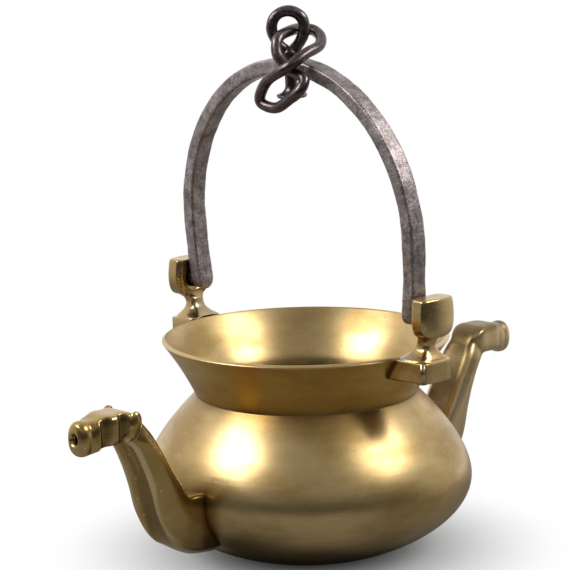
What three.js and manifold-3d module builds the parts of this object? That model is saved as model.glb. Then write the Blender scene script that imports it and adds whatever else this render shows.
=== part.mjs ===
// A hanging lavabo kettle: a squat cast-brass bowl with a funnel rim, two animal-head spouts and two lugs
// that carry a forged-iron bail, with a swivel eye and a figure-eight link at the top of the bail.
// Millimetres, +Z up. The origin is the centre of the flat base. The spouts point along +X and -X, and the
// lugs stand on the rim at +Y and -Y.

import * as THREE from 'three';
import { mergeVertices } from 'three/addons/utils/BufferGeometryUtils.js';
import Module from 'manifold-3d';

const wasm = await Module();
wasm.setup();

// Clearances
const SEAT_GAP = 0.3; // between pieces that are brazed together or rest on each other
const RUNNING_GAP = 0.4; // round the bail's journals and the swivel's stem

// Kettle: outer sizes of the bowl, the neck crease and the funnel rim
const BASE_RADIUS = 38;
const BELLY_RADIUS = 103;
const BELLY_HEIGHT = 47;
const NECK_RADIUS = 69.5;
const NECK_HEIGHT = 101;
const RIM_RADIUS = 90;
const RIM_HEIGHT = 135;
const WALL = 2.8;
const UNDERSIDE_REACH = 16; // how far the curve of the underside leaves the base level
const BELLY_FULLNESS_BELOW = 28;
const BELLY_FULLNESS_ABOVE = 15;
const SHOULDER_REACH = 28; // how far the shoulder leaves the neck along its slope
const SHOULDER_SLOPE = THREE.MathUtils.degToRad(45);
const FUNNEL_HOLLOW = 0.8; // how far the funnel wall bends in between neck and lip

// Spout: sizes outwards from the belly and upwards from the base
const SPOUT_REACH = 87; // from the belly to the tip of the muzzle
const SPOUT_WATERWAY = 3.6; // bore radius
const ROOT_TOP = 57;
const ROOT_BOTTOM = 17;
const ROOT_HALF_WIDTH = 13.5;
const ROOT_KEEL = 10; // rounding of the root's two lower edges
const SPOUT_HALF_WIDTH = 12.2; // of the neck below the head
const SPOUT_EDGE = 1.8; // rounding of the neck's four edges
const SPOUT_HOLLOW = 0.5; // how far the sides and the nape are hollowed
const SPOUT_CHANNEL = 3.4; // depth of the channel down the throat
const HEAD_HEIGHT = 105.4; // axis of the muzzle
const MUZZLE_HALF_HEIGHT = 10.9;
const MUZZLE_HALF_WIDTH = 7.8;
const CHEEK_HALF_WIDTH = 12;
const HEAD_LENGTH = 46;
const CHEEK_TAPER = 1.5; // how much slimmer the cheek is at its front flute
const FLUTE_RADIUS = 4.2;
const FLUTE_DEPTH = 2.6;
const FLUTE_PITCH = 12;
const EAR_LENGTH = 20;
const EAR_HALF_WIDTH = 5;
const EAR_RELIEF = 2.8;
const EAR_TILT = THREE.MathUtils.degToRad(6);

// Lug: an arm under the rim, a waisted neck and a faceted head with the bail's socket
const ARM_HALF_WIDTH = 13.5;
const ARM_LENGTH = 21; // beyond the lip
const ARM_HEIGHT = 12.5;
const ARM_COVE = 2.2; // hollow groove along the arm's two outer corners
const ARM_BEVEL = 0.8; // step from the arm's sides to the foot of the neck
const LUG_WAIST_HALF_WIDTH = 5.4;
const LUG_WAIST_HALF_DEPTH = 4.7;
const LUG_WAIST_RISE = 9.5; // above the lip
const LUG_WAIST_INSET = 6; // of the waist's middle behind the middle of the head
const LUG_NECK_EDGE = 2.5; // rounding of the neck's corners
const LUG_NECK_HOLLOW = 0.4;
const LUG_HEAD_HALF_WIDTH = 14.3;
const LUG_HEAD_DEPTH = 14.2;
const LUG_HEAD_HEIGHT = 25;
const LUG_HEAD_RISE = 13.5; // underside of the head above the lip
const LUG_HEAD_OVERHANG = 3.5; // of the head beyond the end of the arm
const LUG_HEAD_BULGE = 1.8; // how far the head's outer face swells
const HEAD_CHAMFER = 2.2;
const SOCKET_DEPTH = 9;
const DISH_RADIUS = 9;
const DISH_DEPTH = 3.4;

// Bail: a bar of rectangular section, bent to an arch
const BAIL_THICKNESS = 9;
const BAIL_DEPTH = 12.5;
const BAIL_CHAMFER = 1.1;
const BAIL_GAP = 3.5; // between the bar's end and the face of the lug's head
const BAIL_SPREAD = 3; // how far the legs lean out above the journals
const BAIL_LEG = 44; // from the journals up to the widest place
const BAIL_CROWN = 100.5; // from the widest place up to the middle of the bar at the apex
const BAIL_LEAN = THREE.MathUtils.degToRad(-3); // of the bail at rest, about its journals
const BAIL_SLIDE = 1.2; // of the bail at rest, along its journals
const JOURNAL_RADIUS = 4.5;
const APEX_SWELL = 2.6; // extra half depth of the bar round the stem's hole
const APEX_SWELL_LENGTH = 9;

// Swivel eye
const STEM_RADIUS = 3.8;
const STEM_DROP = 8; // free stem between the bail and the mushroom head
const MUSHROOM_RADIUS = 9.6;
const MUSHROOM_HEIGHT = 7.5;
const MUSHROOM_EDGE = 2.2; // height of its upright edge
const MUSHROOM_FLARE = 1.2; // height in which the edge turns towards the stem
const COLLAR_MARGIN = 1.2; // of the collar round the rod
const EYE_ROD = 7;
const EYE_HEIGHT = 25; // from the foot of the eye to the middle of the rod at the top
const EYE_HALF_WIDTH = 10.3; // to the middle of the rod
const DROP_SCALE = 1.12; // brings the drop's widest place to the half width
const EYE_OPENING = 0.5; // angle at which the rod leaves the collar, round the drop
const EYE_TURN = THREE.MathUtils.degToRad(-45); // of the eye's plane, from X towards -Y

// Figure-eight link
const LINK_ROD = 6.8;
const LINK_LENGTH = 54; // between the ends of its two loops, along the middle of the rod

// Colours
const BRASS = { color: 0xb0935a, roughness: 0.32, metalness: 1 };
const IRON = { color: 0x6b5f5e, roughness: 0.55, metalness: 0.9 };
const DARK_IRON = { color: 0x4a3d3c, roughness: 0.45, metalness: 0.9 };

// Facets
const TURN_STEPS = 56;
const ROD_STEPS = 10;
const MERGE_TOLERANCE = 1e-4;

// Derived places
const ARM_END = RIM_RADIUS + ARM_LENGTH;
const LUG_HEAD_BASE = RIM_HEIGHT + LUG_HEAD_RISE;
const LUG_HEAD_OUTER = ARM_END + LUG_HEAD_OVERHANG;
const LUG_HEAD_INNER = LUG_HEAD_OUTER - LUG_HEAD_DEPTH;
const PIVOT_HEIGHT = LUG_HEAD_BASE + LUG_HEAD_HEIGHT / 2;
const BAIL_END = LUG_HEAD_INNER - BAIL_GAP - BAIL_THICKNESS / 2;
const BAIL_HALF_SPAN = BAIL_END + BAIL_SPREAD;
const APEX_HEIGHT = PIVOT_HEIGHT + BAIL_LEG + BAIL_CROWN;
const BAIL_TOP = APEX_HEIGHT + BAIL_THICKNESS / 2;
const BAIL_UNDERSIDE = APEX_HEIGHT - BAIL_THICKNESS / 2;
const EYE_FOOT = BAIL_TOP + SEAT_GAP;

// Helpers

function withoutFlatTriangles(index) {
  const kept = [];
  for (let i = 0; i < index.length; i += 3) {
    const [a, b, c] = [index[i], index[i + 1], index[i + 2]];
    if (a !== b && b !== c && c !== a) kept.push(a, b, c);
  }
  return kept;
}

function solidOf(geometry) {
  const bare = geometry.clone();
  bare.deleteAttribute('normal');
  bare.deleteAttribute('uv');
  const merged = mergeVertices(bare, MERGE_TOLERANCE);
  const solid = new wasm.Manifold(new wasm.Mesh({
    numProp: 3,
    vertProperties: new Float32Array(merged.attributes.position.array),
    triVerts: new Uint32Array(withoutFlatTriangles(merged.index.array)),
  }));
  if (solid.volume() > 0) return solid;
  merged.setIndex(Array.from(merged.index.array).reverse());
  return solidOf(merged);
}

function geometryOf(solid) {
  const mesh = solid.getMesh();
  const geometry = new THREE.BufferGeometry();
  geometry.setAttribute('position', new THREE.BufferAttribute(new Float32Array(mesh.vertProperties), 3));
  geometry.setIndex(Array.from(mesh.triVerts));
  geometry.computeVertexNormals();
  return geometry;
}

// Skins a row of rings that all have the same number of points. A closed row joins its last ring to its
// first, and an open one gets a flat fan at each end.
function loft(rings, closed = false) {
  const count = rings[0].length;
  const points = rings.flat();
  const index = [];
  const spans = closed ? rings.length : rings.length - 1;
  for (let i = 0; i < spans; i++) {
    const here = i * count;
    const next = ((i + 1) % rings.length) * count;
    for (let j = 0; j < count; j++) {
      const k = (j + 1) % count;
      index.push(here + j, here + k, next + j);
      index.push(here + k, next + k, next + j);
    }
  }
  if (!closed) {
    for (const [start, flip] of [[0, true], [(rings.length - 1) * count, false]]) {
      const centre = new THREE.Vector3();
      for (let j = 0; j < count; j++) centre.addScaledVector(points[start + j], 1 / count);
      points.push(centre);
      for (let j = 0; j < count; j++) {
        const pair = [start + j, start + (j + 1) % count];
        if (flip) pair.reverse();
        index.push(...pair, points.length - 1);
      }
    }
  }
  const geometry = new THREE.BufferGeometry().setFromPoints(points);
  geometry.setIndex(index);
  return geometry;
}

// A profile of radius and height, turned about the Z axis
function revolve(profile, steps) {
  return solidOf(new THREE.LatheGeometry(profile, steps).rotateX(Math.PI / 2));
}

// A round rod along a curve, which closes on itself or ends flat
function roundRod(curve, diameter, steps, closed) {
  const frames = curve.computeFrenetFrames(steps, closed);
  const rings = [];
  for (let i = 0; i < steps + (closed ? 0 : 1); i++) {
    const centre = curve.getPointAt(i / steps);
    const ring = [];
    for (let j = 0; j < ROD_STEPS; j++) {
      const angle = (j / ROD_STEPS) * 2 * Math.PI;
      ring.push(centre.clone()
        .addScaledVector(frames.normals[i], Math.cos(angle) * diameter / 2)
        .addScaledVector(frames.binormals[i], Math.sin(angle) * diameter / 2));
    }
    rings.push(ring);
  }
  return loft(rings, closed);
}

// A rectangle with round edges, as offsets along its two half sizes. The two edges at the end of the
// thickness have one rounding and the other two another. Each face is hollowed by its own depth, first the
// face at the end of the thickness and then on round the section.
function hollowedSection(halfWide, halfThick, [endEdge, startEdge], hollows) {
  const quarter = Math.PI / 2;
  const largest = 0.85 * Math.min(halfWide, halfThick);
  const onCorner = (corner, angle) => {
    const edge = Math.min(corner < 2 ? endEdge : startEdge, largest);
    const signWide = corner === 0 || corner === 3 ? 1 : -1;
    const signThick = corner < 2 ? 1 : -1;
    return new THREE.Vector2(
      signWide * (halfWide - edge) + edge * Math.cos(angle),
      signThick * (halfThick - edge) + edge * Math.sin(angle),
    );
  };
  const points = [];
  hollows.forEach((hollow, face) => {
    const facing = (face + 1) * quarter;
    const from = onCorner(face, facing);
    const to = onCorner((face + 1) % hollows.length, facing);
    points.push(onCorner(face, facing - quarter), onCorner(face, facing - quarter / 2), from);
    for (const share of [0.2, 0.5, 0.8]) {
      const depth = hollow * (1 - (2 * share - 1) ** 4);
      const inward = new THREE.Vector2(-Math.cos(facing), -Math.sin(facing));
      points.push(from.clone().lerp(to, share).addScaledVector(inward, depth));
    }
  });
  return points;
}

// A cylinder with its axis along Y, between two places on that axis
function cylinderAlongY(radius, from, to, height, steps, endRadius = radius) {
  const geometry = new THREE.CylinderGeometry(endRadius, radius, to - from, steps);
  geometry.translate(0, (from + to) / 2, height);
  return geometry;
}

// Kettle

// The outer profile from the centre of the base to the lip
function kettleProfile() {
  const at = (r, z) => new THREE.Vector2(r, z);
  const belly = at(BELLY_RADIUS, BELLY_HEIGHT);
  const neck = at(NECK_RADIUS, NECK_HEIGHT);
  const lip = at(RIM_RADIUS, RIM_HEIGHT);
  const underside = new THREE.CubicBezierCurve(
    at(BASE_RADIUS, 0),
    at(BASE_RADIUS + UNDERSIDE_REACH, 0),
    at(BELLY_RADIUS, BELLY_HEIGHT - BELLY_FULLNESS_BELOW),
    belly,
  );
  const shoulder = new THREE.CubicBezierCurve(
    belly,
    at(BELLY_RADIUS, BELLY_HEIGHT + BELLY_FULLNESS_ABOVE),
    at(
      NECK_RADIUS + SHOULDER_REACH * Math.cos(SHOULDER_SLOPE),
      NECK_HEIGHT - SHOULDER_REACH * Math.sin(SHOULDER_SLOPE),
    ),
    neck,
  );
  const wallMiddle = neck.clone().lerp(lip, 0.5).add(at(-2 * FUNNEL_HOLLOW, 2 * FUNNEL_HOLLOW));
  const funnel = new THREE.QuadraticBezierCurve(neck, wallMiddle, lip);
  return [
    at(0, 0),
    ...underside.getPoints(9),
    ...shoulder.getPoints(7).slice(1),
    ...funnel.getPoints(4).slice(1),
  ];
}

// Moves a profile sideways by a distance, with its corners kept sharp. Positive is outwards.
function offsetProfile(profile, distance) {
  const normals = [];
  for (let i = 0; i + 1 < profile.length; i++) {
    const along = profile[i + 1].clone().sub(profile[i]).normalize();
    normals.push(new THREE.Vector2(along.y, -along.x));
  }
  return profile.map((point, i) => {
    const before = normals[Math.max(i - 1, 0)];
    const after = normals[Math.min(i, normals.length - 1)];
    const shift = before.clone().add(after).multiplyScalar(distance / (1 + before.dot(after)));
    return point.clone().add(shift);
  });
}

// The kettle's wall, made thicker on every side by a margin
function kettleWall(margin) {
  const profile = kettleProfile();
  const last = profile.length - 1;
  const rise = profile[last].clone().sub(profile[last - 1]).normalize().multiplyScalar(margin);
  profile[last].add(rise);
  const outside = offsetProfile(profile, margin);
  const inside = offsetProfile(profile, -(WALL + margin)).reverse();
  return revolve([...outside, ...inside, outside[0]], TURN_STEPS);
}

// The kettle's outer form as a full body with a margin, with a low cone over the mouth
function kettleBlock(margin) {
  const outside = offsetProfile(kettleProfile(), margin);
  const top = new THREE.Vector2(0, RIM_HEIGHT + 4 * WALL);
  return revolve([...outside, top], TURN_STEPS);
}

function kettle() {
  const rootMiddle = (ROOT_TOP + ROOT_BOTTOM) / 2;
  const drill = new THREE.CylinderGeometry(SPOUT_WATERWAY, SPOUT_WATERWAY, 4 * BELLY_RADIUS, 16);
  drill.rotateZ(Math.PI / 2);
  drill.translate(0, 0, rootMiddle);
  return kettleWall(0).subtract(solidOf(drill));
}

// Spout, for the +X side

// The side view: the throat is the outer line and the nape the inner one, both from root to head. Each place
// is a share of the reach, and a share of the rise from the root to the head.
function spoutSideLines() {
  const headBottom = HEAD_HEIGHT - MUZZLE_HALF_HEIGHT;
  const headTop = HEAD_HEIGHT + MUZZLE_HALF_HEIGHT;
  const lineThrough = (root, head, places) => new THREE.CatmullRomCurve3(places.map(([out, up]) => (
    new THREE.Vector3(BELLY_RADIUS + out * SPOUT_REACH, 0, THREE.MathUtils.lerp(root, head, up))
  )));
  const throat = lineThrough(ROOT_BOTTOM, headBottom, [
    [-0.16, -0.01], [0.05, 0.03], [0.24, 0.17], [0.37, 0.4],
    [0.435, 0.64], [0.495, 0.82], [0.585, 1.01], [0.68, 1.09],
  ]);
  const nape = lineThrough(ROOT_TOP, headTop, [
    [-0.16, -0.01], [0.01, 0.01], [0.11, 0.035], [0.17, 0.195],
    [0.23, 0.34], [0.32, 0.555], [0.425, 0.775], [0.54, 0.965],
  ]);
  return { throat, nape };
}

// The neck: keeled at the root, and with a channel down the throat above it
function spoutNeck() {
  const { throat, nape } = spoutSideLines();
  const stations = 16;
  const rings = [];
  for (let i = 0; i <= stations; i++) {
    const t = i / stations;
    const low = throat.getPoint(t);
    const high = nape.getPoint(t);
    const centre = low.clone().lerp(high, 0.5);
    const across = low.clone().sub(centre);
    const halfThick = across.length();
    across.normalize();
    const halfWide = THREE.MathUtils.lerp(ROOT_HALF_WIDTH, SPOUT_HALF_WIDTH, t);
    const above = THREE.MathUtils.smoothstep(t, 0.2, 0.45);
    const edges = [THREE.MathUtils.lerp(ROOT_KEEL, SPOUT_EDGE, above), SPOUT_EDGE];
    const hollows = [above * SPOUT_CHANNEL, SPOUT_HOLLOW, SPOUT_HOLLOW, SPOUT_HOLLOW];
    rings.push(hollowedSection(halfWide, halfThick, edges, hollows).map(({ x, y }) => (
      centre.clone().addScaledVector(across, y).setY(x)
    )));
  }
  return solidOf(loft(rings));
}

// The head as rings across X, each a rounded oblong between a lower and an upper line. The lines' knots are
// shares of the head's length from the tip of the muzzle.
function spoutHead() {
  const tip = BELLY_RADIUS + SPOUT_REACH;
  const knots = [0, 0.033, 0.11, 0.17, 0.25, 0.45, 0.83, 1];
  const line = (...sizes) => new THREE.SplineCurve(sizes.map((size, i) => (
    new THREE.Vector2(knots[i] * HEAD_LENGTH, size)
  )));
  const muzzle = MUZZLE_HALF_WIDTH;
  const cheek = CHEEK_HALF_WIDTH;
  const width = line(
    0.5 * muzzle,
    0.84 * muzzle,
    muzzle,
    0.95 * muzzle,
    0.8 * cheek,
    0.95 * cheek,
    cheek,
    0.62 * cheek,
  );
  const low = line(0.5, 0.82, 1, 0.97, 0.8, 0.63, 0.55, 0.3);
  const high = line(0.5, 0.8, 0.96, 0.9, 0.93, 1.09, 1.1, 0.7);
  const stations = 16;
  const sides = 18;
  const squarish = (value) => Math.sign(value) * Math.abs(value) ** 0.58;
  const rings = [];
  for (let i = 0; i <= stations; i++) {
    const t = i / stations;
    const { x: back, y: halfWide } = width.getPoint(t);
    const bottom = HEAD_HEIGHT - MUZZLE_HALF_HEIGHT * low.getPoint(t).y;
    const top = HEAD_HEIGHT + MUZZLE_HALF_HEIGHT * high.getPoint(t).y;
    const ring = [];
    for (let j = 0; j < sides; j++) {
      const angle = (j / sides) * 2 * Math.PI;
      ring.push(new THREE.Vector3(
        tip - back,
        halfWide * squarish(Math.cos(angle)),
        (bottom + top) / 2 + (top - bottom) / 2 * squarish(Math.sin(angle)),
      ));
    }
    rings.push(ring);
  }
  return solidOf(loft(rings));
}

// Two upright flutes in each cheek
function cheekFlutes() {
  const first = BELLY_RADIUS + SPOUT_REACH - HEAD_LENGTH * 0.315;
  const flutes = [];
  for (const step of [0, 1]) {
    for (const side of [-1, 1]) {
      const flute = new THREE.CylinderGeometry(FLUTE_RADIUS, FLUTE_RADIUS, 1.25 * MUZZLE_HALF_HEIGHT, 14);
      flute.rotateX(Math.PI / 2);
      flute.translate(
        first - step * FLUTE_PITCH,
        side * (CHEEK_HALF_WIDTH - CHEEK_TAPER * (1 - step) + FLUTE_RADIUS - FLUTE_DEPTH),
        HEAD_HEIGHT,
      );
      flutes.push(solidOf(flute));
    }
  }
  return flutes;
}

// A leaf-shaped ear at the back of each cheek
function ears() {
  return [-1, 1].map((side) => {
    const ear = new THREE.SphereGeometry(1, 12, 8);
    ear.scale(EAR_HALF_WIDTH, EAR_RELIEF, EAR_LENGTH / 2);
    ear.rotateY(EAR_TILT);
    ear.translate(
      BELLY_RADIUS + SPOUT_REACH - 0.78 * HEAD_LENGTH,
      side * CHEEK_HALF_WIDTH,
      HEAD_HEIGHT + 0.2 * MUZZLE_HALF_HEIGHT,
    );
    return solidOf(ear);
  });
}

// The waterway runs up the middle of the neck and out of the muzzle
function waterway() {
  const { throat, nape } = spoutSideLines();
  const middle = (t) => throat.getPoint(t).lerp(nape.getPoint(t), 0.5);
  const inside = new THREE.Vector3(BELLY_RADIUS - 0.2 * SPOUT_REACH, 0, (ROOT_TOP + ROOT_BOTTOM) / 2);
  const tip = BELLY_RADIUS + SPOUT_REACH;
  const path = new THREE.CatmullRomCurve3([
    inside,
    middle(0.12),
    middle(0.32),
    middle(0.52),
    middle(0.7),
    middle(0.84),
    new THREE.Vector3(tip - 0.5 * HEAD_LENGTH, 0, HEAD_HEIGHT),
    new THREE.Vector3(tip - 0.25 * HEAD_LENGTH, 0, HEAD_HEIGHT),
    new THREE.Vector3(tip + SPOUT_WATERWAY, 0, HEAD_HEIGHT),
  ]);
  const bore = new THREE.Shape().absarc(0, 0, SPOUT_WATERWAY, 0, 2 * Math.PI);
  return solidOf(new THREE.ExtrudeGeometry(bore, { steps: 18, curveSegments: 5, extrudePath: path }));
}

function spout() {
  let body = spoutNeck().add(spoutHead());
  for (const ear of ears()) body = body.add(ear);
  for (const flute of cheekFlutes()) body = body.subtract(flute);
  return body.subtract(waterway()).subtract(kettleBlock(SEAT_GAP));
}

// Lug, for the +Y side

function lugArm() {
  const inner = NECK_RADIUS;
  const plan = new THREE.Shape([
    new THREE.Vector2(-ARM_HALF_WIDTH, inner),
    new THREE.Vector2(ARM_HALF_WIDTH, inner),
    new THREE.Vector2(ARM_HALF_WIDTH, ARM_END),
    new THREE.Vector2(-ARM_HALF_WIDTH, ARM_END),
  ]);
  const arm = new THREE.ExtrudeGeometry(plan, { depth: ARM_HEIGHT, bevelEnabled: false });
  arm.translate(0, 0, RIM_HEIGHT - ARM_HEIGHT);
  let body = solidOf(arm);
  for (const side of [-1, 1]) {
    const cove = new THREE.CylinderGeometry(ARM_COVE, ARM_COVE, 3 * ARM_HEIGHT, 10);
    cove.rotateX(Math.PI / 2);
    cove.translate(side * ARM_HALF_WIDTH, ARM_END, RIM_HEIGHT);
    body = body.subtract(solidOf(cove));
  }
  return body;
}

// The waisted neck: it spreads over the lip and the arm below, and under the head above. Each place is a half
// width with an inner and an outer end.
function lugNeck() {
  const middle = LUG_HEAD_OUTER - LUG_HEAD_DEPTH / 2 - LUG_WAIST_INSET;
  const foot = [ARM_HALF_WIDTH - ARM_BEVEL / 2, RIM_RADIUS - WALL, ARM_END - ARM_BEVEL];
  const waist = [LUG_WAIST_HALF_WIDTH, middle - LUG_WAIST_HALF_DEPTH, middle + LUG_WAIST_HALF_DEPTH];
  const head = [0.62 * LUG_HEAD_HALF_WIDTH, LUG_HEAD_INNER + ARM_BEVEL, LUG_HEAD_OUTER - ARM_BEVEL];
  const slope = foot.map((value, i) => THREE.MathUtils.lerp(value, waist[i], 0.55));
  const levels = [
    [-0.2 * LUG_WAIST_RISE, foot],
    [0.05 * LUG_WAIST_RISE, foot],
    [0.42 * LUG_WAIST_RISE, slope],
    [0.8 * LUG_WAIST_RISE, waist],
    [1.1 * LUG_WAIST_RISE, waist],
    [LUG_HEAD_RISE + ARM_BEVEL, head],
  ];
  const edges = [LUG_NECK_EDGE, LUG_NECK_EDGE];
  const hollows = new Array(4).fill(LUG_NECK_HOLLOW);
  const rings = levels.map(([rise, [halfWide, inner, outer]]) => (
    hollowedSection(halfWide, (outer - inner) / 2, edges, hollows).map(({ x, y }) => (
      new THREE.Vector3(x, (inner + outer) / 2 + y, RIM_HEIGHT + rise)
    ))
  ));
  return solidOf(loft(rings));
}

// The head: a chamfered block with a barrel-shaped outer face, drawn in at the top and the bottom
function lugHead() {
  const half = LUG_HEAD_HALF_WIDTH;
  const cut = HEAD_CHAMFER;
  const depth = LUG_HEAD_DEPTH - LUG_HEAD_BULGE;
  const front = [0.7, 0.4, 0, -0.4, -0.7].map((share) => (
    [share * half, depth + LUG_HEAD_BULGE * (1 - share * share)]
  ));
  const plan = [
    [-half + cut, 0],
    [half - cut, 0],
    [half, cut],
    [half, depth - cut],
    [half - cut, depth],
    ...front,
    [-half + cut, depth],
    [-half, depth - cut],
    [-half, cut],
  ];
  const levels = [[0, 0.86], [0.1, 0.96], [0.35, 1], [0.65, 1], [0.9, 0.94], [1, 0.87]];
  const rings = levels.map(([share, size]) => plan.map(([x, y]) => new THREE.Vector3(
    x * size,
    LUG_HEAD_INNER + y * (0.5 + size / 2),
    LUG_HEAD_BASE + share * LUG_HEAD_HEIGHT,
  )));
  return solidOf(loft(rings));
}

// A dished mouth and a blind socket for the bail's journal, in the head's inner face
function lugSocket() {
  const radius = JOURNAL_RADIUS + RUNNING_GAP;
  const face = LUG_HEAD_INNER;
  const socket = cylinderAlongY(radius, face - WALL, face + SOCKET_DEPTH, PIVOT_HEIGHT, 24);
  const dish = cylinderAlongY(DISH_RADIUS, face - SEAT_GAP, face + DISH_DEPTH, PIVOT_HEIGHT, 24, radius);
  return solidOf(socket).add(solidOf(dish));
}

function lug() {
  const foot = lugArm().add(lugNeck()).subtract(kettleBlock(SEAT_GAP)).subtract(kettleWall(SEAT_GAP));
  return foot.add(lugHead()).subtract(lugSocket());
}

// Bail

// The middle line of the bar from one end to the other: legs that lean out, and half an oval above them
function bailLine() {
  const points = [];
  const widest = PIVOT_HEIGHT + BAIL_LEG;
  const legSteps = 6;
  const crownSteps = 30;
  const leg = [];
  for (let i = 0; i < legSteps; i++) {
    const down = 1 - i / legSteps;
    leg.push(new THREE.Vector3(0, BAIL_HALF_SPAN - BAIL_SPREAD * down ** 2, widest - BAIL_LEG * down));
  }
  points.push(...leg);
  for (let i = 0; i <= crownSteps; i++) {
    const angle = (i / crownSteps) * Math.PI;
    points.push(new THREE.Vector3(
      0,
      BAIL_HALF_SPAN * Math.cos(angle),
      widest + BAIL_CROWN * Math.sin(angle),
    ));
  }
  points.push(...leg.map((point) => point.clone().setY(-point.y)).reverse());
  return points;
}

function bailRing(centre, along, halfDepth) {
  const outward = new THREE.Vector3(0, -along.z, along.y).normalize();
  const x = halfDepth;
  const y = BAIL_THICKNESS / 2;
  const cut = Math.min(BAIL_CHAMFER, 0.8 * x);
  const section = [
    [x, y - cut], [x - cut, y], [-x + cut, y], [-x, y - cut],
    [-x, -y + cut], [-x + cut, -y], [x - cut, -y], [x, -y + cut],
  ];
  return section.map(([deep, thick]) => centre.clone().addScaledVector(outward, thick).setX(deep));
}

// The bar, with a round end below each journal and a swelling round the hole at the apex
function bailBar() {
  const line = bailLine();
  const end = line[line.length - 1];
  const halfDepth = BAIL_DEPTH / 2;
  const rounding = [0.99, 0.93, 0.8, 0.6, 0.35].map((share) => ({
    drop: share * halfDepth,
    half: halfDepth * Math.sqrt(1 - share * share),
  }));
  const down = new THREE.Vector3(0, 0, -1);
  const rings = rounding.map(({ drop, half }) => (
    bailRing(line[0].clone().addScaledVector(down, drop), down.clone().negate(), half)
  ));
  line.forEach((point, i) => {
    const before = line[Math.max(i - 1, 0)];
    const after = line[Math.min(i + 1, line.length - 1)];
    const swell = APEX_SWELL * Math.exp(-((point.y / APEX_SWELL_LENGTH) ** 2));
    const along = i === 0 ? down.clone().negate() : after.clone().sub(before);
    if (i === line.length - 1) along.copy(down);
    rings.push(bailRing(point, along, point.z > PIVOT_HEIGHT + BAIL_LEG ? halfDepth + swell : halfDepth));
  });
  rounding.reverse().forEach(({ drop, half }) => {
    rings.push(bailRing(end.clone().addScaledVector(down, drop), down, half));
  });
  return solidOf(loft(rings));
}

function bail() {
  let body = bailBar();
  const journalEnd = LUG_HEAD_INNER + SOCKET_DEPTH - RUNNING_GAP - BAIL_SLIDE;
  for (const side of [-1, 1]) {
    const journal = cylinderAlongY(JOURNAL_RADIUS, BAIL_END, journalEnd, PIVOT_HEIGHT, 24);
    if (side < 0) journal.rotateZ(Math.PI);
    body = body.add(solidOf(journal));
  }
  const radius = STEM_RADIUS + RUNNING_GAP;
  const hole = new THREE.CylinderGeometry(radius, radius, 3 * BAIL_THICKNESS, 24);
  hole.rotateX(Math.PI / 2);
  hole.translate(0, 0, APEX_HEIGHT);
  return body.subtract(solidOf(hole));
}

// Swivel eye

// The eye's line: a drop with its point at the foot, where both ends of the rod are forged into the collar
class DropCurve extends THREE.Curve {
  getPoint(t, target = new THREE.Vector3()) {
    const angle = THREE.MathUtils.lerp(EYE_OPENING, 2 * Math.PI - EYE_OPENING, t);
    const side = DROP_SCALE * EYE_HALF_WIDTH * Math.sin(angle) * Math.sqrt(Math.sin(angle / 2));
    const height = EYE_HEIGHT * (1 - Math.cos(angle)) / 2;
    return target.set(side * Math.cos(EYE_TURN), side * Math.sin(EYE_TURN), EYE_FOOT + EYE_ROD / 2 + height);
  }
}

// Stem, collar and mushroom head, turned about the swivel's axis
function swivelStem() {
  const at = (r, z) => new THREE.Vector2(r, z);
  const headTop = BAIL_UNDERSIDE - STEM_DROP;
  const headBottom = headTop - MUSHROOM_HEIGHT;
  const edge = headBottom + MUSHROOM_EDGE;
  const flare = new THREE.QuadraticBezierCurve(
    at(MUSHROOM_RADIUS, edge),
    at(1.16 * STEM_RADIUS, edge + MUSHROOM_FLARE),
    at(STEM_RADIUS, headTop),
  );
  const collar = EYE_ROD / 2 + COLLAR_MARGIN;
  return revolve([
    at(0, headBottom),
    at(0.9 * MUSHROOM_RADIUS, headBottom),
    ...flare.getPoints(5),
    at(STEM_RADIUS, EYE_FOOT),
    at(collar, EYE_FOOT),
    at(collar, EYE_FOOT + 0.6 * EYE_ROD),
    at(0.6 * collar, EYE_FOOT + EYE_ROD),
    at(0, EYE_FOOT + EYE_ROD),
  ], 20);
}

function swivelEye() {
  return swivelStem().add(solidOf(roundRod(new DropCurve(), EYE_ROD, 30, false)));
}

// Figure-eight link

// The link's closed line, from the end of its upper loop. Each place is a distance to the right along the
// eye's plane, a distance out of that plane towards the side where the link hangs, and a height above the
// foot of the eye, all in hundredths of the link's length.
function linkLine() {
  const unit = LINK_LENGTH / 100;
  const right = new THREE.Vector3(Math.cos(EYE_TURN), Math.sin(EYE_TURN), 0);
  const out = new THREE.Vector3(Math.sin(EYE_TURN), -Math.cos(EYE_TURN), 0);
  const place = (across, forward, height) => new THREE.Vector3(0, 0, EYE_FOOT + height * unit)
    .addScaledVector(right, across * unit)
    .addScaledVector(out, forward * unit);
  return new THREE.CatmullRomCurve3([
    place(36.1, 0, 20.7),
    place(28.7, -14.8, 27.2),
    place(14.8, -19.3, 29.6),
    place(0.4, 0, 29.6),
    place(-12.2, 18.9, 24.1),
    place(-13.7, 26.5, 7.8),
    place(-0.9, 33.7, -7.8),
    place(14.8, 46.3, -19.1),
    place(9.3, 51.9, -30.6),
    place(-2.8, 45.4, -40.7),
    place(-19.4, 30.6, -51.9),
    place(-36.1, 17.6, -45.4),
    place(-27.8, 27.8, -22.2),
    place(-1.9, 48.7, -3.7),
    place(18.5, 36.1, 8.5),
    place(33.3, 17.6, 13.3),
  ], true, 'centripetal');
}

function figureEightLink() {
  return solidOf(roundRod(linkLine(), LINK_ROD, 64, true));
}

// Assembly

function piece(name, solid, look) {
  const mesh = new THREE.Mesh(geometryOf(solid), new THREE.MeshStandardMaterial(look));
  mesh.name = name;
  return mesh;
}

function opposite(mesh) {
  mesh.rotation.z = Math.PI;
  return mesh;
}

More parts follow.
